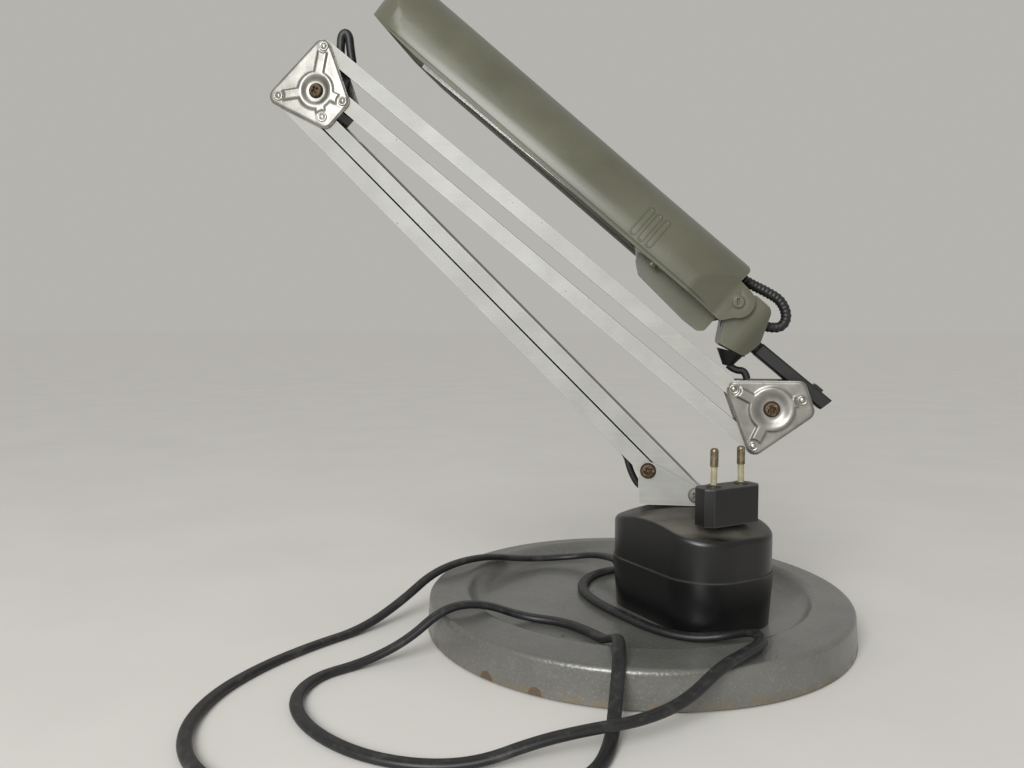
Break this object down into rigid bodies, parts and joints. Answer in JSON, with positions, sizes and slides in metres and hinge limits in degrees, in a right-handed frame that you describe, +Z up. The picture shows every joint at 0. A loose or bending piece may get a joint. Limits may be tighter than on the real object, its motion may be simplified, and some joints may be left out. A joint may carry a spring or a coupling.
{
  "type": "folding arm desk lamp",
  "caption": "Desk lamp with a round dished base, a swivelling double parallelogram arm folded back on itself and a long narrow tilting tube shade.",
  "frame": {"origin": "on the desk, under the axis on which the arms swivel", "axes": "+Z up; the arms fold in the XZ plane, the elbow towards -X and the shade's hinge towards +X; -Y faces the side with the bolt heads"},
  "size_m": [0.3149, 0.3228, 0.3375],
  "materials": {
    "base_paint": "hammered semi-gloss",
    "pad": "matt",
    "black_plastic": "satin",
    "core_plastic": "satin",
    "plated_steel": "dull plated",
    "rusted_steel": "rusted",
    "lamination": "dull",
    "winding": "varnished",
    "arm_paint": "satin",
    "plate_paint": "satin",
    "cord": "satin",
    "plug": "satin",
    "pin_metal": "dull",
    "sleeve": "satin",
    "shade_paint": "semi-gloss",
    "reflector": "bright",
    "white_plastic": "satin",
    "tube": "frosted",
    "nickel": "dull",
    "rocker": "gloss"
  },
  "bodies": {
    "base": {"base_pad": "pad", "base_plate": "base_paint", "housing_lower": "black_plastic", "housing_cover": "black_plastic", "housing_screws": "plated_steel", "ballast_core": "lamination", "ballast_coil": "winding", "ballast_feet": "lamination", "terminal_block": "white_plastic", "cord_gland": "cord", "mains_cord": "cord", "plug_body": "plug", "plug_pins": "pin_metal", "plug_sleeves": "sleeve", "switch_frame": "rocker"},
    "switch": {"switch_rocker": "rocker"},
    "turret": {"hinge_bracket": "arm_paint", "swivel_stud": "nickel", "swivel_washer": "nickel", "swivel_nut": "nickel", "turret_bolts": "rusted_steel", "turret_nuts": "plated_steel", "arm_cable_lower": "cord"},
    "lower_arm": {"lower_rear_channel": "arm_paint"},
    "lower_link": {"lower_front_channel": "arm_paint"},
    "elbow": {"elbow_plate_near": "plate_paint", "elbow_plate_far": "plate_paint", "elbow_core": "core_plastic", "elbow_bolt": "rusted_steel", "elbow_nut": "plated_steel", "elbow_rivets": "plated_steel", "elbow_cord_loop": "cord"},
    "upper_arm": {"upper_top_channel": "arm_paint"},
    "upper_link": {"upper_under_channel": "arm_paint"},
    "head_bracket": {"head_plate_near": "plate_paint", "head_plate_far": "plate_paint", "head_core": "core_plastic", "head_bolt": "rusted_steel", "head_nut": "plated_steel", "head_rivets": "plated_steel"},
    "cup": {"swivel_cup": "shade_paint", "cord_boot": "cord", "head_cord_stem": "cord", "tilt_screws": "plated_steel"},
    "head": {"shade": "shade_paint", "reflector": "reflector", "lampholder": "white_plastic", "tube_cap": "white_plastic", "tube_glass": "tube", "holder_cover": "shade_paint", "cover_screws": "plated_steel", "shade_posts": "nickel", "head_cord_loop": "cord"}
  },
  "joints": [
    {"name": "base_swivel", "type": "hinge", "parent": "base", "child": "turret", "pos_m": [0, 0, 0.07], "axis": [0, 0, 1], "range_deg": [-20, 75]},
    {"name": "switch_rock", "type": "hinge", "parent": "base", "child": "switch", "pos_m": [0.02455, 0.01295, 0.05], "axis": [0, 0, 1], "range_deg": [0, 9]},
    {"name": "lower_lift", "type": "hinge", "parent": "turret", "child": "lower_arm", "pos_m": [-0.021, 0, 0.086], "axis": [0, 1, 0], "range_deg": [0, 85], "deforming": ["arm_cable_lower"]},
    {"name": "lower_follow", "type": "hinge", "parent": "turret", "child": "lower_link", "pos_m": [0.0039, 0, 0.0737], "axis": [0, 1, 0], "range_deg": [-0.5, 85.5]},
    {"name": "elbow_level", "type": "hinge", "parent": "lower_arm", "child": "elbow", "pos_m": [-0.22253, 0, 0.28752], "axis": [0, 1, 0], "range_deg": [-85.5, 0.5]},
    {"name": "upper_lift", "type": "hinge", "parent": "elbow", "child": "upper_arm", "pos_m": [-0.19612, 0, 0.31262], "axis": [0, -1, 0], "range_deg": [0, 105]},
    {"name": "upper_follow", "type": "hinge", "parent": "elbow", "child": "upper_link", "pos_m": [-0.18602, 0, 0.28323], "axis": [0, -1, 0], "range_deg": [-0.5, 105.5]},
    {"name": "head_level", "type": "hinge", "parent": "upper_arm", "child": "head_bracket", "pos_m": [0.0222, 0, 0.12943], "axis": [0, -1, 0], "range_deg": [-105.5, 0.5]},
    {"name": "head_swivel", "type": "hinge", "parent": "head_bracket", "child": "cup", "pos_m": [0.02903, 0, 0.15501], "axis": [0.766, 0, -0.6428], "range_deg": [-40, 40], "deforming": ["head_cord_stem"]},
    {"name": "head_tilt", "type": "hinge", "parent": "cup", "child": "head", "pos_m": [0.02241, 0, 0.17388], "axis": [0, 1, 0], "range_deg": [0, 72], "deforming": ["head_cord_loop"]}
  ],
  "couplings": [
    {"joint": "lower_follow", "follows": "lower_lift", "ratio": 1},
    {"joint": "elbow_level", "follows": "lower_lift", "ratio": -1},
    {"joint": "upper_follow", "follows": "upper_lift", "ratio": 1},
    {"joint": "head_level", "follows": "upper_lift", "ratio": -1}
  ]
}
